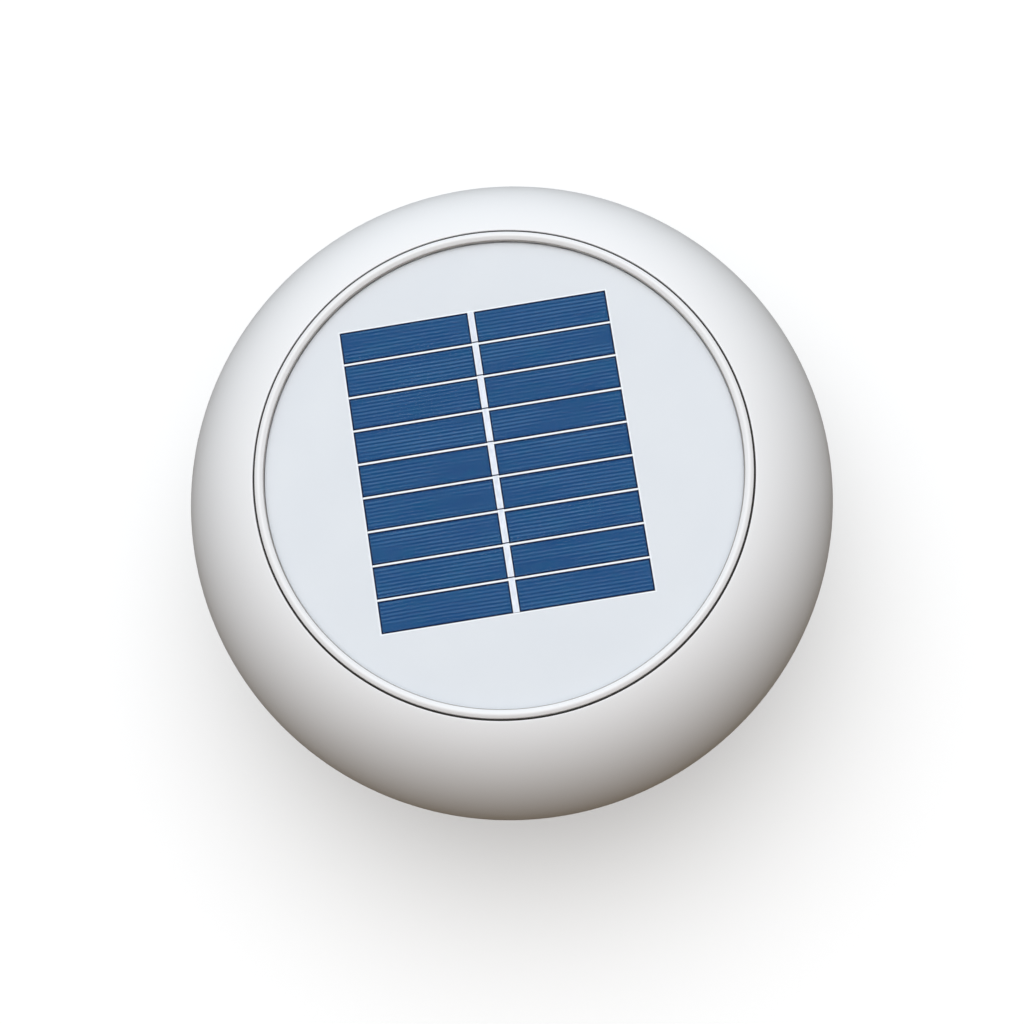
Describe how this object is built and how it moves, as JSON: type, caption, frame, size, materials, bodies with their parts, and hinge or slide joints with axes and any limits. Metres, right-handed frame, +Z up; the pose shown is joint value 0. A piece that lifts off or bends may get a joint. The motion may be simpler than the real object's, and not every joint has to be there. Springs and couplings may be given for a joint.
{
  "type": "solar attic fan",
  "caption": "Low round white roof vent: a domed cover with a small solar module in its top over a ducted fan, with a roof flange, twist damper and rocker switch below.",
  "frame": {"origin": "centre of the collar's lower end, which is the bottom of the vent", "axes": "+Z up along the fan's axis, +X along the solar cells' long side, +Y towards the far end of the row of cells"},
  "size_m": [0.2006, 0.2006, 0.1109],
  "materials": {
    "white_shell": "moulded, semi-gloss",
    "white_laminate": "smooth",
    "clear_lens": "clear",
    "cell_blue": "polycrystalline silicon with fine printed fingers",
    "tinned_copper": "satin",
    "white_base": "moulded, satin",
    "black_plastic": "moulded, satin",
    "grey_fan": "moulded, satin",
    "black_rubber": "matt foam rubber",
    "steel": "bright",
    "brass": "bright",
    "ferrite": "matt",
    "copper": "bright copper",
    "board_green": "solder mask",
    "battery_wrap": "shrink wrap",
    "lead_sheath": "PVC"
  },
  "bodies": {
    "housing": {"backsheet": "white_laminate", "base_flange": "white_base", "battery_cell": "battery_wrap", "battery_contact": "steel", "battery_holder": "black_plastic", "battery_spring": "steel", "bezel_ring": "white_shell", "board_capacitor": "black_plastic", "board_connector": "white_base", "bracket_screw_1": "steel", "bracket_screw_2": "steel", "bracket_screw_3": "steel", "busbar_ribbon": "tinned_copper", "charge_board": "board_green", "cover_screw_1": "steel", "cover_screw_2": "steel", "cover_screw_3": "steel", "cover_screw_4": "steel", "damper_seat": "white_base", "dome_shell": "white_shell", "hub_cap": "white_base", "insect_screen": "grey_fan", "lead_battery": "lead_sheath", "lead_motor": "lead_sheath", "lead_panel": "lead_sheath", "lead_switch": "lead_sheath", "module_seal": "black_rubber", "module_tray": "white_laminate", "motor_bracket": "white_base", "motor_bush_front": "brass", "motor_bush_rear": "brass", "motor_can": "steel", "motor_end_cap": "black_plastic", "motor_magnet_back": "ferrite", "motor_magnet_front": "ferrite", "motor_screw_1": "steel", "motor_screw_2": "steel", "motor_terminal_left": "brass", "motor_terminal_right": "brass", "outlet_guard": "white_base", "roof_gasket": "black_rubber", "solar_cell_1": "cell_blue", "solar_cell_2": "cell_blue", "solar_cell_3": "cell_blue", "solar_cell_4": "cell_blue", "solar_cell_5": "cell_blue", "solar_cell_6": "cell_blue", "solar_cell_7": "cell_blue", "solar_cell_8": "cell_blue", "solar_cell_9": "cell_blue", "switch_body": "black_plastic", "window_lens": "clear_lens"},
    "rotor": {"motor_shaft": "steel", "armature_core": "steel", "commutator": "copper", "fan_impeller": "grey_fan", "fan_bush": "brass", "shaft_clip": "steel"},
    "shutter": {"damper_shutter": "white_base"},
    "rocker": {"switch_rocker": "black_plastic"}
  },
  "joints": [
    {"name": "fan_spin", "type": "hinge", "parent": "housing", "child": "rotor", "pos_m": [0, 0, 0.043], "axis": [0, 0, 1], "continuous": true},
    {"name": "damper_turn", "type": "hinge", "parent": "housing", "child": "shutter", "pos_m": [0, 0, 0.0102], "axis": [0, 0, 1], "range_deg": [0, 22.5]},
    {"name": "switch_rock", "type": "hinge", "parent": "housing", "child": "rocker", "pos_m": [0, 0, 0.0072], "axis": [0, -1, 0], "range_deg": [0, 16]}
  ]
}
